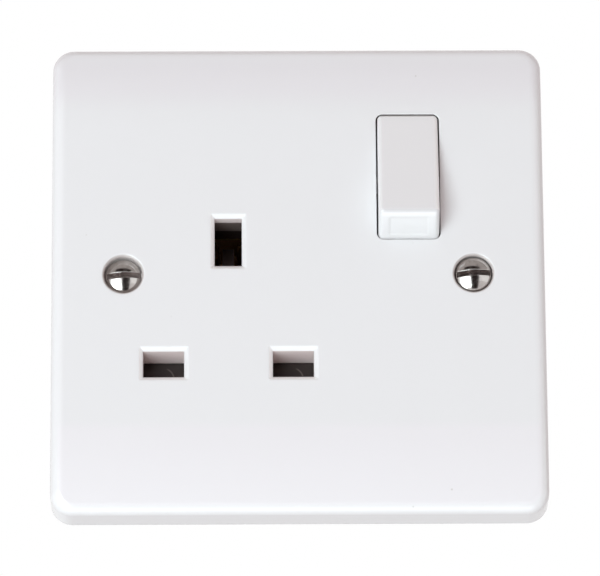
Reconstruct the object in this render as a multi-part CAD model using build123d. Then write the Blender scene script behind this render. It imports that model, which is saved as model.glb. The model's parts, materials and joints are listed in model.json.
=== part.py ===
from build123d import *
import os
from math import atan2, cos, hypot, radians, sin

# Frame: x to the right seen from the front, y into the wall, z up, in mm.
# The wall plane is y = 0 and the front of the plate faces -y.

# Front plate
plate_width = 85.0
plate_height = 85.0
plate_depth = 7.9  # wall plane to the flat of the face
plate_corner = 3.8
plate_edge = 2.0  # rounding where the face turns into the sides
end_fall = 1.1  # how far the face falls back at the top and bottom
end_reach = 14.6  # height of each falling band
face_wall = 2.7
skirt_wall = 2.4
rib_wall = 1.4
rib_reach = 6.0
rib_height = 2.6

# Fixing screws
fixing_pitch = 60.3
fixing_z = 0.2  # fixing centres above the plate's middle
fixing_shank = 3.5
fixing_head = 6.1
fixing_rim = 0.3  # straight rim between cone and dome
fixing_dome = 1.0
fixing_length = 25.0  # dome to tip
fixing_neck = 7.25  # head rim to the start of the thread
fixing_relief = 0.2  # neck under the thread's size, all round
fixing_slot = 1.0
fixing_turns = (2.5, 3.5)  # angle of the slots, left and right
fixing_sink = (1.3, 0.7)  # face to head rim, left and right
fixing_play = 0.2  # screw to hole, all round
recess_play = 0.25  # head to recess, all round
recess_round = 0.5
pillar_wall = 1.2

# Pin pattern
socket_x = -12.05
earth_z = 6.2
pin_pitch = 22.23
pin_width = 6.35
pin_thick = 4.0
earth_pin_height = 8.0
aperture_play = 0.34  # pin to aperture, all round
aperture_chamfer = 0.7
tunnel_depth = 7.0  # face to the inner end of the line and neutral tunnels
tunnel_wall = 1.5

# Shutter and the cover behind it
slide_gap = 0.2
shutter_thick = 2.0
shutter_cover = 0.8  # blade past the aperture, above and below
shutter_spare = 0.4  # blade clear of the aperture when open
shutter_stem = 7.2
ramp_width = 2.0
cover_thick = 1.2
collar_wall = 1.3
shutter_coil = 2.8  # mean diameter
shutter_wire = 0.4
shutter_turns = 6

# Rocker
rocker_x = 19.1
rocker_z = 18.0
rocker_width = 10.5
rocker_opening = 23.2  # height of the opening
rocker_gap = 0.25
rocker_throw = 14.0  # tilt either side of the middle, in degrees
rocker_skirt = 2.1  # behind the axle
rocker_wall = 1.4
rocker_edge = 0.85
opening_corner = 1.2
opening_lip = 0.3
axle = 3.0
axle_play = 0.08
lug_wall = 2.2
lug_height = 8.0
tube = 5.6
tube_reach = 5.5  # behind the axle

# Plunger and see-saw contact
plunger = 3.2
plunger_play = 0.1
plunger_reach = 10.6  # axle to tip
plunger_length = 8.4
plunger_wire = 0.35
plunger_turns = 5
tip_gap = 0.12
saw_tilt = 11.0  # tilt either side of the middle, in degrees
saw_width = 5.0
saw_arm = 7.4
saw_thick = 1.0
saw_bend = 0.5
saw_gap = 0.05  # contact faces when closed
rivet_place = 5.5  # fulcrum to the contact rivets
rivet_head = 2.4
rivet_thick = 0.7
rivet_stem = 1.6

# Base
base_back = 18.0  # behind the wall plane
base_floor = 2.0
base_wall = 1.8
base_rib = 1.4
base_top = 35.0
base_bottom = -33.0
base_right = 29.0
base_corner = 1.5
base_bevel = 0.6  # round the back
lug_room = 9.0  # half height kept free for the wall box's lugs
lug_reach = 5.8  # sideways from each fixing screw
pocket_play = 0.2

# Contacts and terminals
strap_thick = 0.8
strap_width = 6.2
clip_grip = 0.6  # throat narrower than the pin
clip_root = 3.0
clip_flare = 1.4
clip_throat = 2.6  # lips to the throat
clip_gap = 0.5  # cover to lips
clip_bend = 0.8
earth_strap_z = 15.5
earth_strap_width = 5.0
earth_eye = 8.0
earth_foot = 2.5  # strap past its last bend
terminal_width = 7.6
terminal_length = 7.0
terminal_height = 9.0
terminal_skin = 0.6  # block in front of the cable bore
cable_bore = 5.0
clamp_screw = 3.5
clamp_head = 5.6
clamp_slot = 1.0
thread_play = 0.05

# Assembly screws
assembly_screw = 3.0
assembly_head = 5.4
assembly_boss = 6.8
assembly_sink = 2.4
assembly_depth = 1.2  # into the face wall

# Places that follow
face_y = -plate_depth
inner_y = face_y + face_wall
tunnel_y = face_y + tunnel_depth
shutter_y = tunnel_y + slide_gap
shutter_back = shutter_y + shutter_thick
cover_y = shutter_back + slide_gap
cover_back = cover_y + cover_thick
floor_y = base_back - base_floor
strap_y = floor_y - strap_thick
eye_y = -0.3 - strap_thick
block_y = strap_y - terminal_height
bore_y = block_y + terminal_skin + cable_bore / 2

pivot_depth = face_wall + axle / 2 + axle_play
pivot_y = face_y + pivot_depth
rim_y = pivot_y + axle / 2 + axle_play
rocker_half = rocker_opening / 2 - rocker_gap
rocker_radius = hypot(rocker_half, pivot_depth)
rocker_face = rocker_radius * cos(atan2(rocker_half, pivot_depth) - radians(rocker_throw))
opening_width = rocker_width + 2 * rocker_gap
axle_half = opening_width / 2 + rocker_gap + lug_wall
coil_y = pivot_y - rocker_face + 1.5 * rocker_wall

tip_y = pivot_y + plunger_reach
saw_y = tip_y - plunger / 2 + (plunger / 2 + tip_gap - saw_bend) / cos(radians(saw_tilt))
saw_back = saw_y + saw_bend + saw_thick
fixed_y = saw_back + 2 * rivet_thick + saw_gap

line_x = socket_x + pin_pitch / 2
neutral_x = socket_x - pin_pitch / 2
pin_z = earth_z - pin_pitch
aperture_width = pin_width + 2 * aperture_play
aperture_height = pin_thick + 2 * aperture_play
earth_width = pin_thick + 2 * aperture_play
earth_height = earth_pin_height + 2 * aperture_play
blade_height = aperture_height + 2 * shutter_cover
shutter_travel = aperture_height + shutter_cover + shutter_spare
blade_bottom = pin_z - blade_height / 2
stem_top = earth_z - earth_pin_height / 2 - 1.2
upper_z = base_top - base_wall - pocket_play - terminal_length / 2
lower_z = base_bottom + base_wall + pocket_play + terminal_length / 2
earth_block = terminal_width / 2 + pocket_play + base_rib / 2
terminals = (
    (rocker_x, upper_z),
    (neutral_x, lower_z),
    (socket_x - earth_block, upper_z),
    (socket_x + earth_block, upper_z),
)
tunnel_side = aperture_width / 2 + tunnel_wall + pocket_play
base_left = neutral_x - tunnel_side - pocket_play - base_wall
notch_x = fixing_pitch / 2 - lug_reach
spring_y = (shutter_y + shutter_back) / 2
earth_end = socket_x + earth_block + terminal_width / 2
boss_room = (assembly_boss + base_wall) / 2
block_low = upper_z - terminal_length / 2
assembly_places = (
    (socket_x - strap_width / 2 - boss_room, (earth_strap_z + earth_strap_width / 2 + block_low) / 2),
    ((earth_end + rocker_x - opening_width / 2) / 2, upper_z),
    (notch_x - boss_room, base_bottom + boss_room),
    (socket_x + shutter_coil / 2 + boss_room, base_bottom + assembly_boss / 2 + 2 * pocket_play),
)


def slab(outline, front, back):
    """A front-view outline, x across and z up, between two depths."""
    return extrude(Plane((0, back, 0), (1, 0, 0), (0, -1, 0)) * outline, back - front, (0, -1, 0))


def side_slab(outline, x, width):
    """A side-view outline, y across and z up, of a width about x."""
    return extrude(Plane((x - width / 2, 0, 0), (0, 1, 0), (1, 0, 0)) * outline, width, (1, 0, 0))


def span(x0, x1, z0, z1):
    """A front-view rectangle between its edges."""
    return Pos((x0 + x1) / 2, (z0 + z1) / 2) * Rectangle(x1 - x0, z1 - z0)


def rod(x, z, diameter, front, back):
    return slab(Pos(x, z) * Circle(diameter / 2), front, back)


def turned(x, z, *lines):
    """A profile of radius and y, turned about the line along y through x and z."""
    return Pos(x, 0, z) * revolve(make_face(lines), Axis.Y)


def track(points, width):
    """A flat strip of square-ended straight runs through front-view points."""
    runs = Sketch()
    for (x0, z0), (x1, z1) in zip(points, points[1:]):
        across = Rectangle(abs(x1 - x0) + width, abs(z1 - z0) + width)
        runs += Pos((x0 + x1) / 2, (z0 + z1) / 2) * across
    return runs


def bent_strip(points, bend, width, across):
    """Sheet of the strap's thickness bent along a line of points."""
    path = FilletPolyline(*points, radius=bend)
    return sweep(Plane(path @ 0, across, path % 0) * Rectangle(width, strap_thick), path)


def coil(diameter, wire, length, turns):
    """A compression spring along z from the origin, its wire kept inside the length."""
    path = Helix((length - wire) / turns, length - wire, diameter / 2, (0, 0, wire / 2))
    return sweep(Plane(path @ 0, z_dir=path % 0) * RegularPolygon(wire / 2, 4), path, is_frenet=True)


def tilt(piece, y, angle):
    """Turn a piece of the switch about the line along x through y and the rocker's height."""
    return piece.rotate(Axis((rocker_x, y, rocker_z), (1, 0, 0)), angle)


def plate_form(depth, inset):
    """The plate's outer form, or its hollow: flat in the middle, falling back at both ends."""
    bend = plate_height / 2 - end_reach
    radius = (end_reach**2 + end_fall**2) / (2 * end_fall)
    reach = end_reach + 1
    half, edge = bend + reach, radius - (radius**2 - reach**2) ** 0.5 - depth
    outline = make_face(
        [
            Polyline((edge, -half), (1, -half), (1, half), (edge, half)),
            TangentArc((-depth, bend), (edge, half), tangent=(0, 1)),
            Line((-depth, bend), (-depth, -bend)),
            TangentArc((-depth, -bend), (edge, -half), tangent=(0, -1)),
        ]
    )
    corner = max(plate_corner - inset, 0.5)
    front = RectangleRounded(plate_width - 2 * inset, plate_height - 2 * inset, corner)
    return slab(front, -depth - 1, 0) & side_slab(outline, 0, plate_width + 2)


def on_rim(edge):
    """Whether an edge of the plate's form lies where the face turns into the sides."""
    middle = edge @ 0.5
    outside = abs(middle.X) > plate_width / 2 - plate_corner or abs(middle.Z) > plate_height / 2 - 0.1
    return outside and max((edge @ 0).Y, (edge @ 1).Y) < end_fall - plate_depth + 0.01


def aperture(x, z, width, height, back):
    """The cut for one pin, with its chamfered mouth."""
    hole = slab(Pos(x, z) * Rectangle(width, height), face_y - 1, back)
    grown = 2 * aperture_chamfer
    mouth = Plane((x, face_y, z), (1, 0, 0), (0, 1, 0)) * Rectangle(width + grown, height + grown)
    return hole + extrude(mouth, aperture_chamfer, (0, 1, 0), taper=45)


def fixing_hole(x):
    """The cut for a fixing screw: rounded mouth, straight recess, cone seat and clearance hole."""
    wide = fixing_head / 2 + recess_play
    hole = fixing_shank / 2 + fixing_play
    mouth = wide + recess_round
    seat = face_y + max(fixing_sink) + fixing_rim
    return turned(
        x,
        fixing_z,
        Polyline((mouth, face_y), (mouth, face_y - 1), (0, face_y - 1), (0, 1), (hole, 1)),
        Polyline((hole, 1), (hole, seat + wide - hole), (wide, seat), (wide, face_y + recess_round)),
        TangentArc((mouth, face_y), (wide, face_y + recess_round), tangent=(-1, 0)),
    )


def rocker_bearing(side):
    """A lug behind the plate with an open slot that the rocker's axle turns in."""
    x = rocker_x + side * (axle_half - lug_wall / 2)
    hole = axle + 2 * axle_play
    lug = slab(Pos(x, rocker_z) * Rectangle(lug_wall, lug_height), inner_y, rim_y)
    slot = Pos(pivot_y, rocker_z) * (Circle(hole / 2) + Pos(hole / 2, 0) * Rectangle(hole, hole))
    return lug - side_slab(slot, x, lug_wall + 1)


def rocker_room():
    """The opening's top and bottom walls, hollowed behind the lip to follow the rocker's ends."""
    round_room = Pos(pivot_y, rocker_z) * Circle(rocker_radius + rocker_gap)
    tall = Pos(rocker_x, rocker_z) * Rectangle(opening_width, 4 * rocker_radius)
    return side_slab(round_room, rocker_x, opening_width) & slab(tall, face_y + opening_lip, inner_y + 1)


def front_plate():
    form = plate_form(plate_depth, 0)
    body = fillet(form.edges().filter_by(on_rim), plate_edge)
    body -= plate_form(plate_depth - face_wall, skirt_wall)
    pillar = fixing_head + 2 * recess_play + 2 * pillar_wall
    inside = plate_width / 2 - skirt_wall / 2
    for x in (-fixing_pitch / 2, fixing_pitch / 2):
        body += rod(x, fixing_z, pillar, inner_y, eye_y)
        end = inside if x > 0 else -inside
        low, high = fixing_z - rib_wall / 2, fixing_z + rib_wall / 2
        body += slab(span(min(x, end), max(x, end), low, high), inner_y, eye_y)
    for x in (-plate_width / 4, plate_width / 4):
        rib = Pos(x, inside - rib_reach / 2) * Rectangle(rib_wall, rib_reach)
        for turn in (0, 90, 180, 270):
            body += slab(Rot(0, 0, turn) * rib, inner_y, inner_y + rib_height)
    for x in (line_x, neutral_x):
        walls = Rectangle(aperture_width + 2 * tunnel_wall, aperture_height + 2 * tunnel_wall)
        body += slab(Pos(x, pin_z) * walls, inner_y, tunnel_y)
        body -= aperture(x, pin_z, aperture_width, aperture_height, tunnel_y + 1)
    body -= aperture(socket_x, earth_z, earth_width, earth_height, inner_y + 1)
    opening = RectangleRounded(opening_width, rocker_opening, opening_corner)
    body -= slab(Pos(rocker_x, rocker_z) * opening, face_y - 1, inner_y + 1)
    body -= rocker_room()
    body += rocker_bearing(-1) + rocker_bearing(1)
    for x, z in assembly_places:
        body += rod(x, z, assembly_boss, inner_y, rim_y)
        body -= rod(x, z, assembly_screw + 2 * thread_play, inner_y - assembly_depth, rim_y + 1)
    for x in (-1, 1):
        body += rod(socket_x + x * (shutter_stem / 2 + 4.5), pin_z + 14, 3.0, inner_y, cover_y)
    for x in (-fixing_pitch / 2, fixing_pitch / 2):
        body -= fixing_hole(x)
    return body


def fixing_screw(x, sink, turn):
    """A slotted raised countersunk screw, its head rim that far behind the face."""
    head, shank = fixing_head / 2, fixing_shank / 2
    neck = shank - fixing_relief
    rim = face_y + sink
    thread, tip = rim + fixing_neck, rim - fixing_dome + fixing_length
    cone = rim + fixing_rim + head - neck
    dome = (head**2 + fixing_dome**2) / (2 * fixing_dome)
    middle = head / 2
    crown = rim - fixing_dome + dome - (dome**2 - middle**2) ** 0.5
    body = turned(
        x,
        fixing_z,
        ThreePointArc((0, rim - fixing_dome), (middle, crown), (head, rim)),
        Polyline((head, rim), (head, rim + fixing_rim), (neck, cone), (neck, thread), (shank, thread)),
        Polyline((shank, thread), (shank, tip - 0.8), (shank - 0.8, tip), (0, tip), (0, rim - fixing_dome)),
    )
    slot = Pos(x, fixing_z) * Rot(0, 0, turn) * Rectangle(2 * fixing_head, fixing_slot)
    return body - slab(slot, rim - 2 * fixing_dome, rim + 0.35)


def fixing_screws():
    places = zip((-fixing_pitch / 2, fixing_pitch / 2), fixing_sink, fixing_turns)
    return Compound([fixing_screw(*place) for place in places])


def rocker():
    middle = Pos(pivot_y, rocker_z)
    depth = rocker_face + rocker_skirt
    block = Pos((rocker_skirt - rocker_face) / 2, 0) * Rectangle(depth, 4 * rocker_radius)
    body = side_slab(middle * (Circle(rocker_radius) & block), rocker_x, rocker_width)
    front = [e for e in body.edges() if (e @ 0.5).Y < pivot_y + rocker_skirt - 0.01]
    body = fillet(front, rocker_edge)
    hollow = Circle(rocker_radius - rocker_wall) & Pos(rocker_wall, 0) * block
    body -= side_slab(middle * hollow, rocker_x, rocker_width - 2 * rocker_wall)
    front_y = pivot_y - rocker_face
    body += rod(rocker_x, rocker_z, tube, front_y + rocker_wall / 2, pivot_y + tube_reach)
    rib = Pos(rocker_x, rocker_z) * Rectangle(rib_wall, 2 * rocker_half)
    inside = side_slab(middle * Circle(rocker_radius - rocker_wall / 2), rocker_x, rocker_width)
    body += slab(rib, front_y + rocker_wall / 2, pivot_y - axle / 2) & inside
    body -= rod(rocker_x, rocker_z, plunger + 2 * plunger_play, coil_y, pivot_y + tube_reach + 1)
    for side in (-1, 1):
        length = axle_half - rocker_width / 2 + rocker_wall
        x = rocker_x + side * (axle_half - length / 2)
        body += side_slab(middle * Circle(axle / 2), x, length)
    return tilt(body, pivot_y, -rocker_throw)


def plunger_pin():
    radius = plunger / 2
    top = tip_y - plunger_length
    body = turned(
        rocker_x,
        rocker_z,
        Polyline((0, tip_y), (0, top), (radius, top), (radius, tip_y - radius)),
        CenterArc((0, tip_y - radius), radius, 0, 90),
    )
    return tilt(body, pivot_y, -rocker_throw)


def plunger_spring():
    length = tip_y - plunger_length - coil_y
    mean = plunger - plunger_wire - 2 * plunger_play
    spring = coil(mean, plunger_wire, length, plunger_turns)
    return tilt(Pos(rocker_x, coil_y, rocker_z) * Rot(-90, 0, 0) * spring, pivot_y, -rocker_throw)


def on_arm(piece):
    """Lay a piece made square to y on the see-saw's upper arm, then tip the see-saw to its rest."""
    return tilt(tilt(piece, saw_y, saw_tilt), saw_y, saw_tilt)


def moving_contact():
    slope = radians(saw_tilt)
    bend = saw_y + (saw_bend + saw_thick / 2) / cos(slope)
    ends = [(rocker_x, bend - saw_arm * sin(slope), rocker_z + s * saw_arm * cos(slope)) for s in (-1, 1)]
    path = FilletPolyline(ends[0], (rocker_x, bend, rocker_z), ends[1], radius=saw_bend + saw_thick / 2)
    strip = sweep(Plane(path @ 0, (1, 0, 0), path % 0) * Rectangle(saw_width, saw_thick), path)
    hole = rod(rocker_x, rocker_z + rivet_place, rivet_stem, saw_y - 2, saw_back + 2)
    return tilt(strip, saw_y, saw_tilt) - on_arm(hole)


def moving_tip():
    place = (rocker_x, rocker_z + rivet_place)
    stem = rod(*place, rivet_stem, saw_back - saw_thick, saw_back)
    return on_arm(stem + rod(*place, rivet_head, saw_back, saw_back + rivet_thick))


def fixed_contact():
    leg = upper_z - terminal_length / 2 - clip_bend
    front, back = fixed_y + strap_thick / 2, strap_y + strap_thick / 2
    points = ((front, rocker_z + rivet_place - rivet_head), (front, leg), (back, leg), (back, upper_z + 3))
    strip = bent_strip([(rocker_x, y, z) for y, z in points], clip_bend, saw_width, (1, 0, 0))
    strip -= rod(rocker_x, rocker_z + rivet_place, rivet_stem, fixed_y - 1, fixed_y + 2 * strap_thick)
    return strip - rod(rocker_x, upper_z, clamp_screw + 4 * thread_play, strap_y - 1, floor_y + 1)


def fixed_tip():
    place = (rocker_x, rocker_z + rivet_place)
    stem = rod(*place, rivet_stem, fixed_y, fixed_y + strap_thick)
    return stem + rod(*place, rivet_head, fixed_y - rivet_thick, fixed_y)


def fulcrum_bracket():
    """Two cheeks standing on the line strap with a bridge that the see-saw rocks on."""
    cheek = saw_width / 2 + 3 * saw_gap
    bridge = saw_back + saw_gap
    edges = (rocker_x - cheek, rocker_x + cheek, rocker_z - saw_width / 2, rocker_z + saw_width / 2)
    body = slab(span(*edges), bridge, bridge + strap_thick)
    for side in (-1, 1):
        plate = Pos(rocker_x + side * (cheek + strap_thick / 2), rocker_z) * Rectangle(strap_thick, saw_width)
        body += slab(plate, saw_y - saw_bend, strap_y)
    return body


def clip_line():
    """Depth and offset along a sprung U: flared lips, the throat that grips a pin, web on the floor."""
    lips = cover_back + clip_gap
    throat = (pin_thick - clip_grip + strap_thick) / 2
    half = ((lips, throat + clip_flare), (lips + clip_throat, throat), (strap_y + strap_thick / 2, clip_root))
    return half + tuple((y, -offset) for y, offset in reversed(half))


def pin_clip(x):
    points = [(x, y, pin_z + offset) for y, offset in clip_line()]
    return bent_strip(points, clip_bend, strap_width, (1, 0, 0))


def line_contact():
    route = ((line_x, pin_z), (rocker_x, pin_z), (rocker_x, rocker_z))
    return pin_clip(line_x) + slab(track(route, strap_width), strap_y, floor_y)


def neutral_contact():
    tail = slab(track(((neutral_x, pin_z), (neutral_x, lower_z)), strap_width), strap_y, floor_y)
    hole = rod(neutral_x, lower_z, clamp_screw + 4 * thread_play, strap_y - 1, floor_y + 1)
    return pin_clip(neutral_x) + tail - hole


def earth_contact():
    points = [(socket_x + offset, y, earth_z) for y, offset in clip_line()]
    body = bent_strip(points, clip_bend, earth_pin_height, (0, 0, 1))
    ends = ((socket_x - earth_block, upper_z), (socket_x + earth_block, upper_z))
    body += slab(track(((socket_x, earth_z), (socket_x, upper_z)), strap_width), strap_y, floor_y)
    body += slab(track(ends, strap_width), strap_y, floor_y)
    riser = -notch_x - 2 * pocket_play - strap_thick / 2
    low, high = strap_y + strap_thick / 2, eye_y + strap_thick / 2
    line = ((socket_x, low), (riser, low), (riser, high), (riser - earth_foot, high))
    body += bent_strip([(x, y, earth_strap_z) for x, y in line], clip_bend, earth_strap_width, (0, 0, 1))
    eye = Pos(-fixing_pitch / 2, fixing_z) * Circle(earth_eye / 2)
    foot = Pos(riser - earth_foot + 0.5, earth_strap_z) * Rectangle(1, earth_strap_width)
    body += slab(make_hull(eye.edges() + foot.edges()), eye_y, eye_y + strap_thick)
    body -= rod(-fixing_pitch / 2, fixing_z, fixing_shank + 2 * fixing_play, eye_y - 1, 1)
    for x, z in ends:
        body -= rod(x, z, clamp_screw + 4 * thread_play, strap_y - 1, floor_y + 1)
    return body


def terminal(x, z):
    """A brass block with a cable bore along z and a threaded hole from behind."""
    body = slab(Pos(x, z) * Rectangle(terminal_width, terminal_length), block_y, strap_y)
    body = chamfer(body.edges().filter_by(Axis.Y), 0.4)
    bore = Pos(x, bore_y, z) * Cylinder(cable_bore / 2, terminal_length + 1)
    return body - bore - rod(x, z, clamp_screw + 2 * thread_play, bore_y, strap_y + 1)


def clamp(x, z):
    """A slotted clamping screw, backed out so that the cable bore is free."""
    start = bore_y + cable_bore / 2 + 0.2
    neck = floor_y + 0.4
    end = base_back - 0.1
    body = rod(x, z, clamp_screw, start, neck) + rod(x, z, clamp_head, neck, end)
    return body - slab(Pos(x, z) * Rectangle(clamp_head + 1, clamp_slot), end - 0.9, end + 1)


def shutter():
    side = aperture_width / 2 + shutter_cover
    outline = span(neutral_x - side, line_x + side, blade_bottom, pin_z + blade_height / 2)
    outline += span(socket_x - shutter_stem / 2, socket_x + shutter_stem / 2, pin_z, stem_top)
    body = slab(fillet(outline.vertices(), 0.8), shutter_y, shutter_back)
    front = inner_y + slide_gap
    low = earth_z - earth_pin_height / 2
    nose = Polygon(
        (front, low - 0.3),
        (shutter_back, low + shutter_travel),
        (shutter_back, stem_top - 4),
        (shutter_y, stem_top - 4),
        (front, low - 1.2),
        align=None,
    )
    body += side_slab(nose, socket_x, ramp_width)
    peg = Pos(socket_x, spring_y, blade_bottom - 1.2) * Cylinder(shutter_coil / 2 - shutter_wire, 2.6)
    return body + peg


def shutter_spring():
    seat = base_bottom + base_wall
    spring = coil(shutter_coil, shutter_wire, blade_bottom - seat, shutter_turns)
    return Pos(socket_x, spring_y, seat) * spring


def cover_outline(grown):
    """The contact cover's front view, or the seat for it in the base."""
    side = tunnel_side + grown
    low = blade_bottom - shutter_travel - 0.4 - grown
    high = earth_z + earth_height / 2 + collar_wall + 0.6 + grown
    middle = shutter_stem / 2 + 6 + grown
    lower = span(neutral_x - side, line_x + side, low, pin_z + blade_height / 2 + 2 + grown)
    return lower + span(socket_x - middle, socket_x + middle, pin_z, high)


def contact_cover():
    body = slab(cover_outline(0), cover_y, cover_back)
    wide, top = earth_width / 2, earth_z + earth_height / 2
    bottom = earth_z - earth_height / 2
    collar = span(socket_x - wide - collar_wall, socket_x + wide + collar_wall, bottom, top + collar_wall)
    body += slab(collar, inner_y + 0.1, cover_y)
    body -= slab(span(socket_x - wide, socket_x + wide, bottom - 1, top), inner_y - 1, cover_back + 1)
    for x in (line_x, neutral_x):
        body -= slab(Pos(x, pin_z) * Rectangle(aperture_width, aperture_height), cover_y - 1, cover_back + 1)
    rail = shutter_stem / 2 + slide_gap
    top_z, low_z = stem_top - 0.5, pin_z + blade_height / 2 + 1
    for side in (-1, 1):
        x = socket_x + side * (rail + base_rib / 2)
        body += slab(Pos(x, (top_z + low_z) / 2) * Rectangle(base_rib, top_z - low_z), shutter_y, cover_y)
    channel = span(socket_x - 2, socket_x + 2, base_bottom, blade_bottom - 0.5)
    return body - slab(channel, cover_y - 1, cover_back + 1)


def pockets(grown):
    """Front view of the base's deep pockets, grown all round by that much."""
    play = pocket_play + grown
    wide = terminal_width + 2 * play
    lips = clip_root + 2.2 + play
    upper = base_top - base_wall + grown
    lower = base_bottom + base_wall - grown
    outline = span(neutral_x - wide / 2, neutral_x + wide / 2, lower, pin_z + lips)
    outline += span(line_x - wide / 2, line_x + wide / 2, pin_z - lips, pin_z + lips)
    route = ((line_x, pin_z), (rocker_x, pin_z), (rocker_x, rocker_z))
    outline += track(route, strap_width + 2 * play)
    bottom = rocker_z - saw_arm - 1.5 - play
    outline += span(rocker_x - wide / 2, rocker_x + wide / 2, bottom, upper)
    clip_half = earth_pin_height / 2 + 0.4 + play
    outline += span(socket_x - lips, socket_x + lips, earth_z - clip_half, earth_z + clip_half)
    outline += track(((socket_x, earth_z), (socket_x, upper_z)), strap_width + 2 * play)
    ends = earth_block + wide / 2
    low = upper_z - terminal_length / 2 - play
    outline += span(socket_x - ends, socket_x + ends, low, upper)
    strap = earth_strap_width + 2 * play
    return outline + track(((socket_x, earth_strap_z), (-notch_x, earth_strap_z)), strap)


def base_outline():
    points = (
        (-notch_x, base_top),
        (base_right, base_top),
        (base_right, lug_room),
        (notch_x, lug_room),
        (notch_x, base_bottom),
        (base_left, base_bottom),
        (base_left, -lug_room),
        (-notch_x, -lug_room),
    )
    return Polygon(*points, align=None)


def rear_base():
    outline = base_outline()
    body = slab(fillet(outline.vertices(), base_corner), rim_y, base_back)
    body = chamfer(body.faces().sort_by(Axis.Y)[-1].edges(), base_bevel)
    side = rocker_width / 2 + 3 * rocker_gap
    sweep_half = rocker_radius + 2 * rocker_gap
    middle = Pos(rocker_x, rocker_z)
    bay = middle * Rectangle(2 * side, 2 * sweep_half)
    bay_wall = middle * Rectangle(2 * side + 2 * base_rib, 2 * sweep_half + 2 * base_rib) - bay
    cores = offset(outline, -base_wall, kind=Kind.INTERSECTION) - pockets(base_rib) - bay_wall
    for x, z in assembly_places:
        cores -= Pos(x, z) * Circle(assembly_boss / 2)
    body -= slab(cores, rim_y - 1, floor_y) + slab(pockets(0), rim_y - 1, floor_y)
    rocker_back = pivot_y + hypot(rocker_skirt, rocker_radius) * sin(radians(rocker_throw + 10)) + rocker_gap
    body -= slab(bay, rim_y - 1, rocker_back)
    body -= slab(cover_outline(pocket_play), rim_y - 1, cover_back)
    channel = shutter_coil + shutter_wire + 2 * pocket_play
    spring = span(socket_x - channel / 2, socket_x + channel / 2, base_bottom + base_wall, blade_bottom)
    body -= slab(spring, rim_y - 1, spring_y + channel / 2)
    for x, z in terminals:
        body -= rod(x, z, clamp_head + 2 * pocket_play, floor_y - 1, base_back + 1)
        window = cable_bore + 4 * pocket_play
        end = base_top if z > 0 else base_bottom
        body -= Pos(x, bore_y, end) * Cylinder(window / 2, 4 * base_wall)
    for x, z in assembly_places:
        body -= rod(x, z, assembly_screw + 4 * thread_play, rim_y - 1, base_back + 1)
        body -= rod(x, z, assembly_head + 2 * pocket_play, base_back - assembly_sink, base_back + 1)
    return body


def assembly_fastener(x, z):
    head = base_back - assembly_sink
    tip = inner_y - assembly_depth + 0.3
    body = rod(x, z, assembly_screw, tip, head) + rod(x, z, assembly_head, head, head + 1.8)
    cross = Rectangle(3.2, 0.7) + Rectangle(0.7, 3.2)
    return body - slab(Pos(x, z) * cross, head + 0.7, head + 3)


nodes = {
    "front_plate": front_plate(),
    "rear_base": rear_base(),
    "contact_cover": contact_cover(),
    "shutter": shutter(),
    "shutter_spring": shutter_spring(),
    "rocker": rocker(),
    "plunger": plunger_pin(),
    "plunger_spring": plunger_spring(),
    "moving_contact": moving_contact(),
    "moving_tip": moving_tip(),
    "fixed_contact": fixed_contact(),
    "fixed_tip": fixed_tip(),
    "fulcrum_bracket": fulcrum_bracket(),
    "line_contact": line_contact(),
    "neutral_contact": neutral_contact(),
    "earth_contact": earth_contact(),
    "line_terminal": terminal(*terminals[0]),
    "neutral_terminal": terminal(*terminals[1]),
    "earth_terminals": Compound([terminal(*place) for place in terminals[2:]]),
    "terminal_screws": Compound([clamp(*place) for place in terminals]),
    "assembly_screws": Compound([assembly_fastener(*place) for place in assembly_places]),
    "fixing_screws": fixing_screws(),
}

os.makedirs("parts", exist_ok=True)
for name, shape in nodes.items():
    export_step(shape, f"parts/{name}.step")
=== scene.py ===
import json
from math import cos, pi, radians, sin

import bmesh
import bpy
from mathutils import Matrix, Vector


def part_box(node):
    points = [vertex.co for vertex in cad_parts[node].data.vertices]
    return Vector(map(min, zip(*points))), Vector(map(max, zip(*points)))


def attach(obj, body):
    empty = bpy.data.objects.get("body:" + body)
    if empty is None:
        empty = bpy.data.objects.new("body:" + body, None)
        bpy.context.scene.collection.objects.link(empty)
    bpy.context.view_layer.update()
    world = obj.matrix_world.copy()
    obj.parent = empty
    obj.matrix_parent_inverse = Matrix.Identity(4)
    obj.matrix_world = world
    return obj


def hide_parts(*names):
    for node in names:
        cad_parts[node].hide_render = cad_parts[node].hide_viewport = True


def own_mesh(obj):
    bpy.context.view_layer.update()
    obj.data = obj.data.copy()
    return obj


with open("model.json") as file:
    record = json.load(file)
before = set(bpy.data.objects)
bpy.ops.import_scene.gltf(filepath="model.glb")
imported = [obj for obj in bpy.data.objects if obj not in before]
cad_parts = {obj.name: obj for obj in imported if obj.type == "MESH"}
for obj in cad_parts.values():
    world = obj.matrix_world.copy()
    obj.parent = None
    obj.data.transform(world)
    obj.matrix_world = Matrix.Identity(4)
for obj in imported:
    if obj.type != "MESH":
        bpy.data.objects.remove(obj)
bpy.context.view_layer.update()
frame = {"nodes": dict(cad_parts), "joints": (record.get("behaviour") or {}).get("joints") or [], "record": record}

# Rear base. One dark thermoset moulding that carries every live piece behind the plate.
# The mould's spark-eroded walls leave a fine even grain, a little paler where it is rubbed.
mm = 0.001


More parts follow.
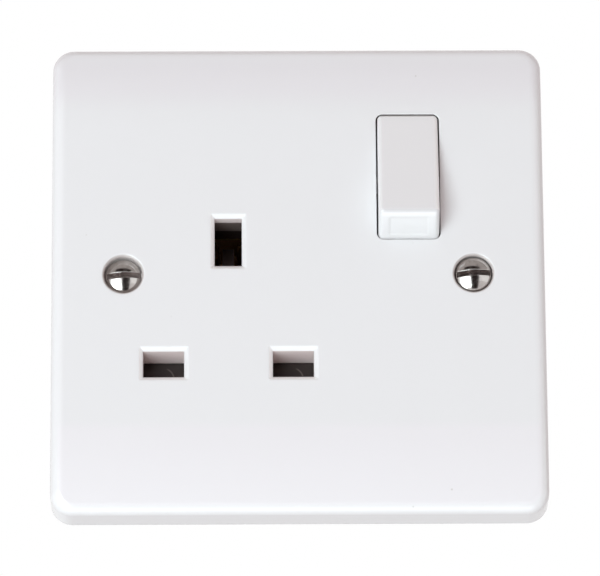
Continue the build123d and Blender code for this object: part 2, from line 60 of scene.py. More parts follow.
class Wire:
    """A node's socket that can be used in Python expressions, which add their nodes to its tree."""

    def __init__(self, tree, socket):
        self.tree, self.socket = tree, socket

    def node(self, kind, settings, sockets, out=0):
        """Add a node: its settings first, then the values or links of its sockets."""
        made = self.tree.nodes.new(kind)
        for name, value in settings.items():
            setattr(made, name, value)
        for name, value in sockets.items():
            if isinstance(value, Wire):
                self.tree.links.new(value.socket, made.inputs[name])
            else:
                made.inputs[name].default_value = value
        return Wire(self.tree, made.outputs[out])

    def math(self, operation, *values):
        return self.node("ShaderNodeMath", {"operation": operation}, dict(enumerate(values)))

    def __add__(self, other):
        return self.math("ADD", self, other)

    def __radd__(self, other):
        return self.math("ADD", other, self)

    def __sub__(self, other):
        return self.math("SUBTRACT", self, other)

    def __rsub__(self, other):
        return self.math("SUBTRACT", other, self)

    def __mul__(self, other):
        return self.math("MULTIPLY", self, other)

    def __rmul__(self, other):
        return self.math("MULTIPLY", other, self)

    def __truediv__(self, other):
        return self.math("DIVIDE", self, other)

    def __abs__(self):
        return self.math("ABSOLUTE", self)

    def step(self, low, high):
        """0 below low and 1 above high, with a smooth turn between them."""
        ends = {"Value": self, "From Min": low, "From Max": high}
        return self.node("ShaderNodeMapRange", {"interpolation_type": "SMOOTHSTEP"}, ends)

    def drop(self, low, high):
        """1 below low and 0 above high, with a smooth turn between them."""
        return 1 - self.step(low, high)

    def mix(self, first, second):
        """A colour between two, by this value."""
        return self.node("ShaderNodeMixRGB", {}, {"Fac": self, "Color1": first, "Color2": second})


def cloud(place, size, detail, stretch=(1, 1, 1)):
    """Soft noise with features of about that size, longer along an axis with a low stretch."""
    place = place.node("ShaderNodeMapping", {}, {"Vector": place, "Scale": stretch})
    return place.node("ShaderNodeTexNoise", {}, {"Vector": place, "Scale": 1 / size, "Detail": detail})


def blank(name):
    """A new material and its tree."""
    made = bpy.data.materials.new(name)
    made.use_nodes = True
    return made, made.node_tree


def finish(name, metal, sockets, paint):
    """A material: plain values on the shader's sockets, and what varies from the paint function."""
    made, tree = blank(name)
    shader = tree.nodes["Principled BSDF"]
    shader.inputs["Metallic"].default_value = metal
    for socket, value in sockets.items():
        shader.inputs[socket].default_value = value
    place = Wire(tree, tree.nodes.new("ShaderNodeTexCoord").outputs["Object"])
    for socket, wire in paint(place).items():
        tree.links.new(wire.socket, shader.inputs[socket])
    return made


def bump(height, depth, under=None):
    """A normal from a height between 0 and 1 that stands for that depth, on top of another one."""
    sockets = {"Distance": depth, "Height": height}
    if under:
        sockets["Normal"] = under
    return height.node("ShaderNodeBump", {}, sockets, "Normal")


def dress(material, *nodes):
    """The material on whole CAD nodes."""
    for node in nodes:
        materials = frame["nodes"][node].data.materials
        materials.clear()
        materials.append(material)


def black_moulding(place):
    rubbed = cloud(place, 9 * mm, 4.0)
    grain = cloud(place, 0.16 * mm, 2.0)
    return {
        "Base Color": rubbed.step(0.4, 0.75).mix((0.026, 0.026, 0.027, 1), (0.042, 0.041, 0.041, 1)),
        "Roughness": 0.42 + rubbed * 0.2,
        "Normal": bump(grain, 0.02 * mm),
    }


dress(finish("black_moulding", 0.0, {"IOR": 1.5}, black_moulding), "rear_base")

# Pin clips and straps. Phosphor bronze for the three sprung clips and brass strip for the rest,
# blanked and bent in one press tool, so the faces keep the mill's fine rolling lines.


def rolled_strip(light, dark):
    def paint(place):
        lines = cloud(place, 0.5 * mm, 3.0, (1, 1, 0.06))
        tarnish = cloud(place, 6 * mm, 5.0).step(0.42, 0.78)
        return {
            "Base Color": (tarnish * 0.8 + lines * 0.2).mix(light, dark),
            "Roughness": 0.2 + tarnish * 0.16 + lines * 0.1,
            "Normal": bump(lines, 0.006 * mm),
        }

    return paint


bronze = rolled_strip((0.73, 0.44, 0.22, 1), (0.5, 0.27, 0.12, 1))
brass = rolled_strip((0.78, 0.57, 0.25, 1), (0.56, 0.37, 0.14, 1))
dress(finish("bronze_strip", 1.0, {}, bronze), "line_contact", "neutral_contact", "earth_contact")
dress(finish("brass_strip", 1.0, {}, brass), "fixed_contact", "fulcrum_bracket", "moving_contact")

# Contact tips. Silver rivets headed over in the moving and the fixed contact, bright with
# patches of a straw grey film where the silver has taken up sulphur.


def silver(place):
    film = cloud(place, 1.1 * mm, 4.0).step(0.35, 0.7)
    return {
        "Base Color": film.mix((0.86, 0.85, 0.82, 1), (0.6, 0.55, 0.46, 1)),
        "Roughness": 0.22 + film * 0.25,
        "Normal": bump(cloud(place, 0.12 * mm, 2.0), 0.006 * mm),
    }


dress(finish("silver", 1.0, {}, silver), "fixed_tip", "moving_tip")

# Cable terminals. Brass bar sawn to length, drilled for the cable and tapped from behind, with
# fine parallel saw marks and a few darker stains.


def sawn_brass(place):
    saw = cloud(place, 0.35 * mm, 3.0, (0.05, 1, 1))
    stain = cloud(place, 4 * mm, 4.0).step(0.45, 0.8)
    return {
        "Base Color": stain.mix((0.8, 0.61, 0.29, 1), (0.6, 0.42, 0.18, 1)),
        "Roughness": 0.26 + saw * 0.16,
        "Normal": bump(saw, 0.012 * mm),
    }


blocks = finish("sawn_brass", 1.0, {}, sawn_brass)
dress(blocks, "line_terminal", "neutral_terminal", "earth_terminals")

# Terminal screws. Cheese heads turned from steel bar, thread rolled and zinc plated, each backed
# out of its block so that the cable bore is free. One tree turns every screw on the object.
mounts = {mount["name"]: mount for mount in frame["record"]["mounts"]}


def part_of(place, axis):
    return place.node("ShaderNodeSeparateXYZ", {}, {"Vector": place}, axis)


def shape_tree(name, sizes, shape):
    """A geometry tree with a named input for each size, whose shape function gets them as wires."""
    tree = bpy.data.node_groups.new(name, "GeometryNodeTree")
    kinds = {"Geometry": "Geometry", **sizes, "Finish": "Material"}
    for label, kind in kinds.items():
        tree.interface.new_socket(label, in_out="INPUT", socket_type="NodeSocket" + kind)
    tree.interface.new_socket("Geometry", in_out="OUTPUT", socket_type="NodeSocketGeometry")
    inputs = tree.nodes.new("NodeGroupInput").outputs
    wires = {label: Wire(tree, inputs[label]) for label in kinds}
    made = shape(wires)
    made = made.node("GeometryNodeRealizeInstances", {}, {"Geometry": made})
    made = made.node("GeometryNodeSetMaterial", {}, {"Geometry": made, "Material": wires["Finish"]})
    tree.links.new(made.socket, tree.nodes.new("NodeGroupOutput").inputs["Geometry"])
    return tree


def grown(tree, outline, sizes):
    """The plain mesh that a tree makes from the points of an outline and its sizes."""
    start = bpy.data.meshes.new("outline")
    start.from_pydata(outline, [], [])
    maker = bpy.data.objects.new("maker", start)
    bpy.context.scene.collection.objects.link(maker)
    modifier = maker.modifiers.new("shape", "NODES")
    modifier.node_group = tree
    for item in tree.interface.items_tree:
        if item.in_out == "INPUT" and item.name in sizes:
            modifier[item.identifier] = sizes[item.name]
    seen = maker.evaluated_get(bpy.context.evaluated_depsgraph_get())
    made = bpy.data.meshes.new_from_object(seen)
    bpy.data.objects.remove(maker)
    return made


def place_pieces(name, meshes, material, node, body):
    """One object of several placed meshes that stands for a CAD node."""
    joined = bmesh.new()
    for mesh, matrix in meshes:
        mesh.transform(matrix)
        joined.from_mesh(mesh)
    made = bpy.data.meshes.new(name)
    joined.to_mesh(made)
    joined.free()
    made.materials.append(material)
    made.polygons.foreach_set("material_index", [0] * len(made.polygons))
    made.shade_smooth()
    made.set_sharp_from_angle(angle=radians(32))
    piece = bpy.data.objects.new(name, made)
    bpy.context.scene.collection.objects.link(piece)
    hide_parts(node)
    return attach(piece, body)


def turned_screw(size):
    """The outline of radius and depth turned about y, with a thread wound in and slots cut across."""
    outline, columns = size["Geometry"], size["Columns"]
    rows = outline.node("GeometryNodeAttributeDomainSize", {"component": "MESH"}, {"Geometry": outline})
    sheet = rows.node("GeometryNodeMeshGrid", {}, {"Vertices X": rows, "Vertices Y": columns})
    index = rows.node("GeometryNodeInputIndex", {}, {})
    row = index.math("FLOOR", (index + 0.5) / columns)
    turn = (index - row * columns) / (columns - 1)
    here = index.node("GeometryNodeInputPosition", {}, {})
    point = index.node(
        "GeometryNodeSampleIndex",
        {"data_type": "FLOAT_VECTOR", "domain": "POINT"},
        {"Geometry": outline, "Value": here, "Index": row},
    )
    radius, depth = part_of(point, "X"), part_of(point, "Y")
    phase = depth / size["Pitch"] + turn
    groove = phase.math("PINGPONG", phase, 0.5) * 2
    threaded = depth.math("GREATER_THAN", depth, size["Thread Start"])
    threaded = threaded * depth.math("LESS_THAN", depth, size["Thread End"])
    radius = radius - threaded * groove * size["Thread Depth"]
    angle = turn * (2 * pi)
    x, z = radius * angle.math("COSINE", angle), radius * angle.math("SINE", angle)
    spot = x.node("ShaderNodeCombineXYZ", {}, {"X": x, "Y": depth, "Z": z})
    body = sheet.node("GeometryNodeSetPosition", {}, {"Geometry": sheet, "Position": spot})
    body = body.node("GeometryNodeMergeByDistance", {}, {"Geometry": body, "Distance": 0.002 * mm})
    tall = 2 * mm
    edges = {"X": size["Slot Length"], "Y": tall, "Z": size["Slot Width"]}
    edges = body.node("ShaderNodeCombineXYZ", {}, edges)
    block = body.node("GeometryNodeMeshCube", {}, {"Size": edges})
    middle = body.node("ShaderNodeCombineXYZ", {}, {"Y": size["Slot Floor"] - tall / 2})
    for quarter in (0, pi / 2):
        around = body.node("ShaderNodeCombineXYZ", {}, {"Y": size["Cross"] * quarter})
        cutter = {"Geometry": block, "Translation": middle, "Rotation": around}
        cutter = body.node("GeometryNodeTransform", {}, cutter)
        body = body.node(
            "GeometryNodeMeshBoolean",
            {"operation": "DIFFERENCE", "solver": "EXACT"},
            {"Mesh 1": body, "Mesh 2": cutter},
        )
    return body


thread_sizes = ("Pitch", "Thread Depth", "Thread Start", "Thread End")
slot_sizes = ("Slot Length", "Slot Width", "Slot Floor", "Cross")
screw_sizes = {"Columns": "Int", **dict.fromkeys(thread_sizes + slot_sizes, "Float")}
screw_tree = shape_tree("turned_screw", screw_sizes, turned_screw)


def run(start, end, step):
    """Evenly spaced values from start to end, about a step apart."""
    count = max(1, round((end - start) / step))
    return [start + (end - start) * i / count for i in range(count + 1)]


def zinc(place):
    cloudy = cloud(place, 1.6 * mm, 4.0).step(0.35, 0.75)
    return {
        "Base Color": cloudy.mix((0.62, 0.64, 0.67, 1), (0.52, 0.52, 0.5, 1)),
        "Roughness": 0.26 + cloudy * 0.18,
        "Normal": bump(cloud(place, 0.2 * mm, 2.0), 0.006 * mm),
    }


zinc_plate = finish("zinc_plate", 1.0, {}, zinc)


def from_behind(node, x, z):
    """Where a screw goes that is driven in from behind, its head level with that node's back."""
    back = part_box(node)[1].y
    return Matrix.Translation((x, back, z)) @ Matrix.Rotation(pi, 4, "Z")


def terminal_screw():
    head, shank, thick, long, pitch = 2.8 * mm, 1.75 * mm, 1.5 * mm, 5.9 * mm, 0.6 * mm
    bevel, point = 0.2 * mm, 0.4 * mm
    outline = [(0, 0, 0), (head - bevel, 0, 0), (head, bevel, 0), (head, thick, 0), (shank, thick, 0)]
    outline += [(shank, depth, 0) for depth in run(thick + 0.1 * mm, long - point, pitch / 8)]
    outline += [(shank - point, long, 0), (0, long, 0)]
    sizes = {
        "Columns": 49,
        "Pitch": pitch,
        "Thread Depth": 0.3 * mm,
        "Thread Start": thick + 0.3 * mm,
        "Thread End": long - 0.3 * mm,
        "Slot Length": 3 * head,
        "Slot Width": 1.0 * mm,
        "Slot Floor": 0.9 * mm,
        "Cross": 0.0,
        "Finish": zinc_plate,
    }
    return grown(screw_tree, outline, sizes)


cable_bores = [mount["pos_m"] for mount in mounts.values() if mount["kind"] == "bore"]
placed = [(terminal_screw(), from_behind("terminal_screws", x, z)) for x, y, z in cable_bores]
place_pieces("terminal_screws_threaded", placed, zinc_plate, "terminal_screws", "housing")

# Shutter and contact cover. Black nylon mouldings behind the plate: the cover guides the pins and
# the shutter slides down on it when the earth pin works its ramp. The shutter is paler in a short
# arc beside each pin's way, and the mouth of the cover's collar is paler towards the front.
openings = {opening["name"]: opening["box_m"] for opening in frame["record"]["physics"]["openings"]}


def dark_nylon(pale_mark):
    def paint(place):
        flow = cloud(place, 5 * mm, 3.0, (1, 1, 0.35))
        clean = flow.mix((0.03, 0.019, 0.017, 1), (0.021, 0.013, 0.012, 1))
        pale_tone = flow.mix((0.185, 0.148, 0.138, 1), (0.15, 0.12, 0.112, 1))
        return {
            "Base Color": pale_mark(place).mix(clean, pale_tone),
            "Roughness": 0.4 + flow * 0.2,
            "Normal": bump(cloud(place, 0.3 * mm, 3.0), 0.012 * mm),
        }

    return paint


def apart(across, up):
    """The distance of a point from a middle, from its two parts."""
    return across.math("SQRT", across * across + up * up)


def pale_pin_arcs(place):
    """A short pale arc beside each pin's way on the shutter."""
    x, z = part_of(place, "X"), part_of(place, "Z")
    left, down, radius = 0.25 * mm, 0.4 * mm, 1.93 * mm
    mark = 0
    for name in ("neutral_aperture", "line_aperture"):
        low, high = [Vector(corner) for corner in openings[name]]
        middle = (low + high) / 2
        across, up = x - (middle.x - left), z - (middle.z - down)
        ring = abs(apart(across, up) - radius).drop(0.06 * mm, 0.2 * mm)
        mark = mark + ring * across.step(0.5 * mm, 1.2 * mm) * up.step(0.2 * mm, 0.6 * mm)
    return mark * 0.5


def pale_guide_mouth(place):
    """The mouth of the guide, paler towards the front."""
    return part_of(place, "Y").drop(-1.5 * mm, -1.0 * mm)


matt = {"IOR": 1.53, "Specular IOR Level": 0.3}
dress(finish("black_nylon", 0.0, matt, dark_nylon(pale_pin_arcs)), "shutter")
dress(finish("pale_mouth_nylon", 0.0, matt, dark_nylon(pale_guide_mouth)), "contact_cover")

# Shutter and plunger springs. Music wire wound on an arbor, with a closed turn at each end, drawn
# bright and lightly oiled, so the shine is a little uneven.
joints = {joint["name"]: joint for joint in frame["joints"]}


def wound_spring(size):
    """A coil along z from 0 to its length, its end turns closed up."""
    turns, wire, radius = size["Turns"], size["Wire"], size["Coil"] * 0.5
    path = turns.node(
        "GeometryNodeCurveSpiral",
        {},
        {"Resolution": 40, "Rotations": turns, "Start Radius": radius, "End Radius": radius, "Height": 1.0},
    )
    along = path.node("GeometryNodeSplineParameter", {}, {}, "Factor") * turns
    middle = along.math("MAXIMUM", along - 1, 0.0)
    middle = middle.math("MINIMUM", middle, turns - 2)
    ends = along - middle
    free = size["Length"] - 3 * wire
    height = 0.5 * wire + ends * wire + middle / (turns - 2) * free
    here = path.node("GeometryNodeInputPosition", {}, {})
    spot = {"X": part_of(here, "X"), "Y": part_of(here, "Y"), "Z": height}
    spot = path.node("ShaderNodeCombineXYZ", {}, spot)
    path = path.node("GeometryNodeSetPosition", {}, {"Geometry": path, "Position": spot})
    ring = {"Resolution": 12, "Radius": wire * 0.5}
    ring = path.node("GeometryNodeCurvePrimitiveCircle", {"mode": "RADIUS"}, ring)
    tube = {"Curve": path, "Profile Curve": ring, "Fill Caps": True}
    return path.node("GeometryNodeCurveToMesh", {}, tube)


spring_sizes = dict.fromkeys(("Coil", "Wire", "Length", "Turns"), "Float")
spring_tree = shape_tree("wound_spring", spring_sizes, wound_spring)


def spring_steel(place):
    oil = cloud(place, 0.8 * mm, 3.0)
    return {
        "Base Color": oil.step(0.35, 0.7).mix((0.6, 0.59, 0.57, 1), (0.42, 0.41, 0.4, 1)),
        "Roughness": 0.2 + oil * 0.18,
    }


music_wire = finish("music_wire", 1.0, {}, spring_steel)


def spring(name, node, body, matrix, coil, wire, length, turns):
    sizes = {"Coil": coil, "Wire": wire, "Length": length, "Turns": turns, "Finish": music_wire}
    mesh = grown(spring_tree, [(0, 0, 0)], sizes)
    return place_pieces(name, [(mesh, matrix)], music_wire, node, body)


low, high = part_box("shutter_spring")
seat = Vector(((low.x + high.x) / 2, (low.y + high.y) / 2, low.z))
length, travel = high.z - low.z, joints["shutter_slide"]["range_m"][1]
made = spring(
    "shutter_spring_wound", "shutter_spring", "housing", Matrix.Translation(seat),
    coil=2.8 * mm, wire=0.4 * mm, length=length, turns=6.0,
)
(length - travel) / length
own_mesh(made)

# The plunger's spring sits in the rocker's tube, square to the rocker, which rests tilted.
tilt = joints["rocker_tilt"]
throw, pivot = radians(tilt["range_deg"][1]) / 2, Vector(tilt["pos_m"])
tube = Matrix.Translation(pivot) @ Matrix.Rotation(-throw, 4, "X") @ Matrix.Rotation(-pi / 2, 4, "X")
points = frame["nodes"]["plunger_spring"].data.vertices
reach = [(tube.inverted() @ point.co).z for point in points]
length, travel = max(reach) - min(reach), joints["plunger_slide"]["range_m"][1]
seat = tube @ Matrix.Translation((0, 0, min(reach)))
made = spring(
    "plunger_spring_wound", "plunger_spring", "rocker", seat,
    coil=2.65 * mm, wire=0.35 * mm, length=length, turns=5.0,
)
(length - travel) / length
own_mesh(made)

# Plunger. A turned natural nylon pin with a round nose, waxy and a little see-through, that the
# spring presses on the see-saw contact.


def natural_nylon(place):
    milky = cloud(place, 2 * mm, 3.0)
    return {
        "Base Color": milky.mix((0.72, 0.69, 0.6, 1), (0.8, 0.78, 0.71, 1)),
        "Roughness": 0.35 + milky * 0.15,
        "Normal": bump(cloud(place, 0.25 * mm, 2.0), 0.01 * mm),
    }


wax = {"Subsurface Weight": 0.2, "Subsurface Radius": (1.0, 0.9, 0.7), "Subsurface Scale": 1 * mm}
dress(finish("natural_nylon", 0.0, wax, natural_nylon), "plunger")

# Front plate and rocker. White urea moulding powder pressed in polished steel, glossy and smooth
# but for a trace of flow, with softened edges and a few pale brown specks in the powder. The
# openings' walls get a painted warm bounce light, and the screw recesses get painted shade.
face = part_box("front_plate")[0].y
socket_x, socket_z = mounts["plug_face"]["pos_m"][0], -4.5 * mm
fixing = mounts["wall_fixing"]
screw_x, screw_z = fixing["dims"]["spacing_x_mm"] / 2 * mm, fixing["pos_m"][2]


def larger(first, second):
    return first.math("MAXIMUM", first, second)


def powder_specks(place):
    spots = {"Vector": place, "Scale": 1 / (7 * mm), "Randomness": 1.0}
    near = place.node("ShaderNodeTexVoronoi", {"feature": "F1"}, spots, "Distance")
    pick = place.node("ShaderNodeTexVoronoi", {"feature": "F1"}, spots, "Color")
    some = pick.node("ShaderNodeSeparateColor", {}, {"Color": pick}, "Red").step(0.6, 0.62)
    return near.drop(0.012, 0.035) * some * 0.3


def white_urea(light, dark, soft):
    """White between two tones, with edges softened by that radius."""

    def paint(place):
        flow = cloud(place, 14 * mm, 3.0)
        x, y, z = [part_of(place, axis) for axis in "XYZ"]
        facing = place.node("ShaderNodeTexCoord", {}, {}, "Normal")
        level = abs(part_of(facing, "Y"))

        # Painted shade on the face where it slopes back at the top, and painted light at the bottom.
        painted_top_shade = z.step(29.5 * mm, 35.5 * mm) * (1 - 0.7 * z.step(38 * mm, 42 * mm))
        white = painted_top_shade.mix(flow.mix(light, dark), (0.795, 0.778, 0.804, 1))
        painted_bottom_light = z.drop(-28.5 * mm, -26 * mm) * level.step(0.9, 0.97)
        white = painted_bottom_light.mix(white, (0.841, 0.8265, 0.852, 1))

        # Walls that go straight back, away from the plate's own sides, get a painted warm bounce light below the
        # face.
        wall = level.drop(0.4, 0.75) * larger(abs(x), abs(z)).drop(36 * mm, 37 * mm)
        painted_bounce_walls = wall * y.step(face + 0.05 * mm, face + 0.4 * mm)
        white = painted_bounce_walls.mix(white, (0.9, 0.81, 0.8, 1))

        # Chamfers of the pin apertures that look up or to the right get painted light.
        chamfer_light = level.step(0.5, 0.65) * level.drop(0.76, 0.9) * y.drop(face + 0.35 * mm, face + 0.65 * mm)
        chamfer_light = chamfer_light * larger(abs(x - socket_x), abs(z - socket_z)).drop(16 * mm, 16.5 * mm)
        chamfer_light = chamfer_light * (part_of(facing, "X") + part_of(facing, "Z")).step(0.1, 0.4)
        white = chamfer_light.mix(white, (0.96, 0.955, 0.965, 1))

        # The fixing screws' recesses get painted shade, and the wall at the right of the rocker gets painted
        # light.
        recess_shade = apart(abs(x) - screw_x, z - screw_z).drop(3.45 * mm, 3.72 * mm)
        white = recess_shade.mix(white, (0.52, 0.475, 0.465, 1))
        beside = x - pivot.x
        slit_light = beside.step(4.9 * mm, 5.2 * mm) * beside.drop(5.6 * mm, 5.8 * mm) * wall
        white = slit_light.mix(white, (0.97, 0.95, 0.945, 1))

        edges = place.node("ShaderNodeBevel", {"samples": 8}, {"Radius": soft})
        return {
            "Base Color": powder_specks(place).mix(white, (0.3, 0.26, 0.2, 1)),
            "Roughness": 0.13 + flow * 0.07,
            "Normal": bump(cloud(place, 1.8 * mm, 2.0), 0.004 * mm, edges),
        }

    return paint


def rocker_white(place):
    """The plate's white, with a shallow sunk panel on each end of the rocker, painted light along its right edge
    and painted shade on its ends.
    """
    made = white_urea((0.85, 0.845, 0.86, 1), (0.835, 0.83, 0.845, 1), 0.2 * mm)(place)
    x, y, z = [part_of(place, axis) - middle for axis, middle in zip("XYZ", pivot)]
    out, along = y * cos(throw) - z * sin(throw), abs(y * sin(throw) + z * cos(throw))
    end = along.step(9.5 * mm, 10.1 * mm) * out.step(-6.3 * mm, -5.6 * mm)
    end = end * y.drop(-4.3 * mm, -4.1 * mm)
    panel = abs(x).drop(3.05 * mm, 3.65 * mm) * end
    panel = panel * out.step(-6.0 * mm, -5.4 * mm) * out.drop(-2.6 * mm, -2.0 * mm)
    # Painted light along the rocker's right edge.
    right = x.step(4.2 * mm, 5.0 * mm) * (1 - end)
    facing = place.node("ShaderNodeTexCoord", {}, {}, "Normal")
    turned = abs(part_of(facing, "Y") * sin(throw) + part_of(facing, "Z") * cos(throw))
    white = right.mix(made["Base Color"], (0.96, 0.95, 0.955, 1))
    # Painted shade on the rounded turn into each end and on the end faces.
    white = turned.step(0.08, 0.35).mix(white, (0.735, 0.73, 0.745, 1))
    white = turned.step(0.68, 0.88).mix(white, (0.81, 0.81, 0.82, 1))
    made["Base Color"] = end.mix(white, (0.72, 0.72, 0.73, 1))
    made["Normal"] = bump(1 - panel, 0.09 * mm, made["Normal"])
    return made


plate_white = white_urea((0.83, 0.83, 0.845, 1), (0.815, 0.815, 0.83, 1), 0.4 * mm)
dress(finish("white_urea", 0.0, {"IOR": 1.55}, plate_white), "front_plate")
dress(finish("rocker_urea", 0.0, {"IOR": 1.55}, rocker_white), "rocker")

# Assembly screws. Pan heads with a cross recess, zinc plated, that go in from behind and draw the
# base onto the plate's bosses. The coarse thread cuts its own way into the plastic.


def assembly_screw():
    head, shank, thick, long, pitch = 2.7 * mm, 1.5 * mm, 1.8 * mm, 23.5 * mm, 1.3 * mm
    crown, point, tip = 0.55 * head, 1.2 * mm, 0.4 * shank
    outline = [(head * sin(a), crown * (1 - cos(a)), 0) for a in run(0, pi / 2, pi / 16)]
    outline += [(head, thick, 0), (shank, thick, 0)]
    outline += [(shank, depth, 0) for depth in run(thick + 0.1 * mm, long - point, pitch / 8)]
    outline += [(tip, long, 0), (0, long, 0)]
    sizes = {
        "Columns": 51,
        "Pitch": pitch,
        "Thread Depth": 0.35 * mm,
        "Thread Start": thick + 1 * mm,
        "Thread End": long - 1 * mm,
        "Slot Length": 3.2 * mm,
        "Slot Width": 0.7 * mm,
        "Slot Floor": 1.1 * mm,
        "Cross": 1.0,
        "Finish": zinc_plate,
    }
    return grown(screw_tree, outline, sizes)


bosses = ((-19.45, 22.0), (5.025, 29.5), (20.05, -28.7), (-6.35, -29.2))
placed = [(assembly_screw(), from_behind("assembly_screws", x * mm, z * mm)) for x, z in bosses]
place_pieces("assembly_screws_threaded", placed, zinc_plate, "assembly_screws", "housing")

# Fixing screws. Slotted raised countersunk machine screws, nickel plated on brass, that hold the
# plate on the wall box. The left one is driven further in, and neither slot is quite level.
head, dome, stagger = 3.05 * mm, 1.0 * mm, 0.3 * mm
ball = (head * head + dome * dome) / (2 * dome)


def nickel(place):
    handled = cloud(place, 0.9 * mm, 4.0).step(0.4, 0.8)
    scratch = cloud(place, 0.25 * mm, 3.0, (0.1, 1, 1))
    x, y, z = [part_of(place, axis) for axis in "XYZ"]
    crown = face - stagger * x.math("SIGN", x)
    across, up = abs(x) - screw_x, z - screw_z
    rise = x.math("SQRT", ball * ball - across * across - up * up)
    # The slot is a little rougher, and gets painted shade, darker and warmer.
    slot = (y - crown - ball + rise).step(0.05 * mm, 0.15 * mm)
    bright = handled.mix((0.66, 0.63, 0.61, 1), (0.56, 0.53, 0.51, 1))
    edges = place.node("ShaderNodeBevel", {"samples": 6}, {"Radius": 0.12 * mm})
    return {
        "Base Color": slot.mix(bright, (0.56, 0.48, 0.46, 1)),
        "Roughness": 0.1 + handled * 0.12 + scratch * 0.05 + slot * 0.05,
        "Normal": bump(scratch, 0.004 * mm, edges),
    }


nickel_plate = finish("nickel_plate", 1.0, {}, nickel)


def fixing_screw():
    rim, shank, neck, point = 0.3 * mm, 1.75 * mm, 1.55 * mm, 0.8 * mm
    start, long, pitch = 8.25 * mm, 25 * mm, 0.6 * mm
    outline = [(r, ball - (ball * ball - r * r) ** 0.5, 0) for r in run(0, head, 0.16 * mm)]
    outline += [(head, dome + rim, 0), (neck, dome + rim + head - neck, 0), (neck, start, 0)]
    outline += [(shank, depth, 0) for depth in run(start + 0.05 * mm, long - point, pitch / 8)]
    outline += [(shank - point, long, 0), (0, long, 0)]
    sizes = {
        "Columns": 97,
        "Pitch": pitch,
        "Thread Depth": 0.3 * mm,
        "Thread Start": start + 0.1 * mm,
        "Thread End": long - 0.7 * mm,
        "Slot Length": 3 * head,
        "Slot Width": 1.0 * mm,
        "Slot Floor": dome + 0.35 * mm,
        "Cross": 0.0,
        "Finish": nickel_plate,
    }
    return grown(screw_tree, outline, sizes)


placed = []
for side, turn in ((-1, 2.5), (1, 3.5)):
    spot = Matrix.Translation((side * screw_x, face - side * stagger, screw_z))
    placed.append((fixing_screw(), spot @ Matrix.Rotation(radians(-turn), 4, "Y")))
place_pieces("fixing_screws_threaded", placed, nickel_plate, "fixing_screws", "housing")

# Studio. A pale floor far below the object, which fades to white, one large soft key at the lower
# left, a bounce from below and a weak fill at the right. A dark room, a dark beam and a grey
# ceiling are cards that only reflections see, for the screw heads and the gloss.


def card(name, centre, facing, width, height, material):
    """A flat rectangle about a point, turned to face along a direction."""
    turn = Vector(facing).to_track_quat("Z", "Y").to_matrix().to_4x4()
    spot = Matrix.Translation(centre) @ turn
    signs = ((-1, -1), (1, -1), (1, 1), (-1, 1))
    corners = [spot @ Vector((x * width / 2, y * height / 2, 0)) for x, y in signs]
    mesh = bpy.data.meshes.new(name)
    mesh.from_pydata(corners, [], [(0, 1, 2, 3)])
    mesh.materials.append(material)
    made = bpy.data.objects.new(name, mesh)
    bpy.context.scene.collection.objects.link(made)
    return made


def rays(tree, kind):
    """1 for one kind of ray and 0 for the others."""
    return Wire(tree, tree.nodes.new("ShaderNodeLightPath").outputs[kind])


def pale_floor():
    made, tree = blank("pale_floor")
    shader = tree.nodes["Principled BSDF"]
    shader.inputs["Base Color"].default_value = (0.82, 0.82, 0.82, 1)
    shader.inputs["Roughness"].default_value = 0.7
    place = Wire(tree, tree.nodes.new("ShaderNodeTexCoord").outputs["Object"])
    away = place.node("ShaderNodeVectorMath", {"operation": "LENGTH"}, {0: place}, "Value")
    seen = (0.5 + 0.5 * away.step(0.6, 2.4)) * rays(tree, "Is Camera Ray")
    fade = seen + 0.5 * rays(tree, "Is Glossy Ray")
    glow = place.node("ShaderNodeEmission", {}, {"Color": (1, 1, 1, 1)})
    both = place.node("ShaderNodeMixShader", {}, {0: fade, 1: Wire(tree, shader.outputs[0]), 2: glow})
    tree.links.new(both.socket, tree.nodes["Material Output"].inputs["Surface"])
    return made


def glowing(name, colour):
    made, tree = blank(name)
    glow = tree.nodes.new("ShaderNodeEmission")
    glow.inputs["Color"].default_value = colour
    tree.links.new(glow.outputs[0], tree.nodes["Material Output"].inputs["Surface"])
    return made


card("floor", (0, 0, -1.5), (0, 0, 1), 12, 12, pale_floor())
black_card = glowing("black_card", (0.018, 0.011, 0.01, 1))
grey_card = glowing("grey_card", (0.42, 0.39, 0.38, 1))
for name, centre, facing, width, height, material in (
    ("dark_room", (0.2, -1.2, -0.25), (0, 1, 0), 0.66, 1.9, black_card),
    ("dark_beam", (-0.04, -0.86, 0.74), (0, 0.8, -0.6), 1.1, 0.3, black_card),
    ("ceiling", (0, -0.6, 1.2), (0, 0.4, -1), 3.0, 1.6, grey_card),
):
    made = card(name, centre, facing, width, height, material)
    made.visible_camera = made.visible_diffuse = made.visible_shadow = False


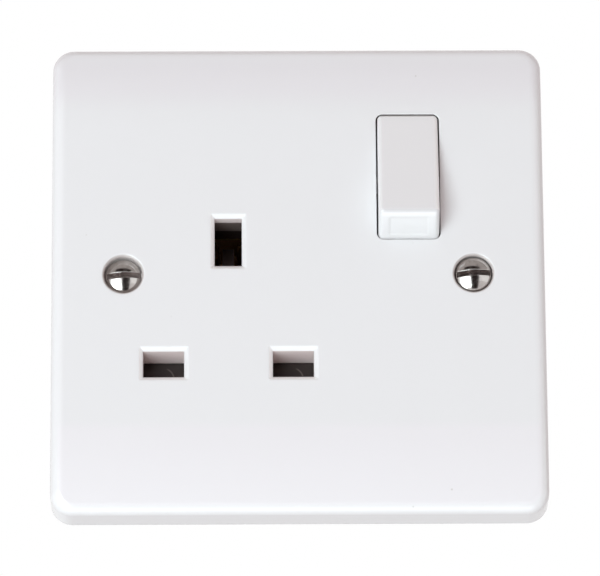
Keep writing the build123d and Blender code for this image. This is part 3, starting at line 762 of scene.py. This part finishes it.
def soft_light(name, centre, width, height, power, colour):
    """A rectangular lamp that faces the object."""
    light = bpy.data.lights.new(name, "AREA")
    light.shape, light.size, light.size_y = "RECTANGLE", width, height
    light.energy, light.color = power, colour
    made = bpy.data.objects.new(name, light)
    turn = (-Vector(centre)).to_track_quat("-Z", "Y").to_matrix().to_4x4()
    made.matrix_world = Matrix.Translation(centre) @ turn
    made.visible_camera = False
    bpy.context.scene.collection.objects.link(made)


soft_light("key", (-0.93, -1.672, -0.584), 1.28, 1.5, 34.4, (0.835, 0.955, 0.98))
soft_light("bounce", (0.0, -0.16, -0.6), 0.5, 0.34, 0.78, (0.906, 0.969, 1.0))
soft_light("fill", (1.0, -0.12, 0.1), 0.5, 0.4, 0.74, (0.9, 1.0, 1.0))

# The world is white to the eye and in reflections, and a warm weak light for the rest.
world = bpy.data.worlds.new("studio")
bpy.context.scene.world = world
world.use_nodes = True
tree = world.node_tree
seen = larger(rays(tree, "Is Camera Ray"), rays(tree, "Is Glossy Ray"))
seen = larger(seen, rays(tree, "Is Transmission Ray"))
sky = Wire(tree, tree.nodes.new("ShaderNodeTexCoord").outputs["Generated"])
rear = (part_of(sky, "Y") + 0.5 * part_of(sky, "X")).step(0.0, 0.45)
ambient = rear.mix((0.414, 0.32, 0.305, 1), (0.66, 0.64, 0.63, 1))
backdrop = seen.mix(ambient, (1, 1, 1, 1))
tree.links.new(backdrop.socket, tree.nodes["Background"].inputs["Color"])

# Camera. A long lens below the plate's middle, looking up at it, as the photograph does, with a
# trace of yaw and roll.
pitch, yaw, roll, far = radians(19.94), radians(0.609), radians(-0.411), 1.0398
aim = Vector((0.35 * mm, 0, 0.411 * mm))
look = Vector((sin(yaw) * cos(pitch), cos(yaw) * cos(pitch), sin(pitch)))
right = look.cross(Vector((0, 0, 1))).normalized()
up = right.cross(look)
across, upright = cos(roll) * right + sin(roll) * up, cos(roll) * up - sin(roll) * right
lens = bpy.data.cameras.new("camera")
lens.sensor_fit, lens.sensor_width, lens.lens = "HORIZONTAL", 36.0, 360.1
lens.clip_start, lens.clip_end = 0.05, 50.0
camera = bpy.data.objects.new("camera", lens)
turn = Matrix((across, upright, -look)).transposed().to_4x4()
camera.matrix_world = Matrix.Translation(aim - far * look) @ turn
bpy.context.scene.collection.objects.link(camera)
bpy.context.scene.camera = camera
bpy.context.scene.view_settings.view_transform = "Standard"
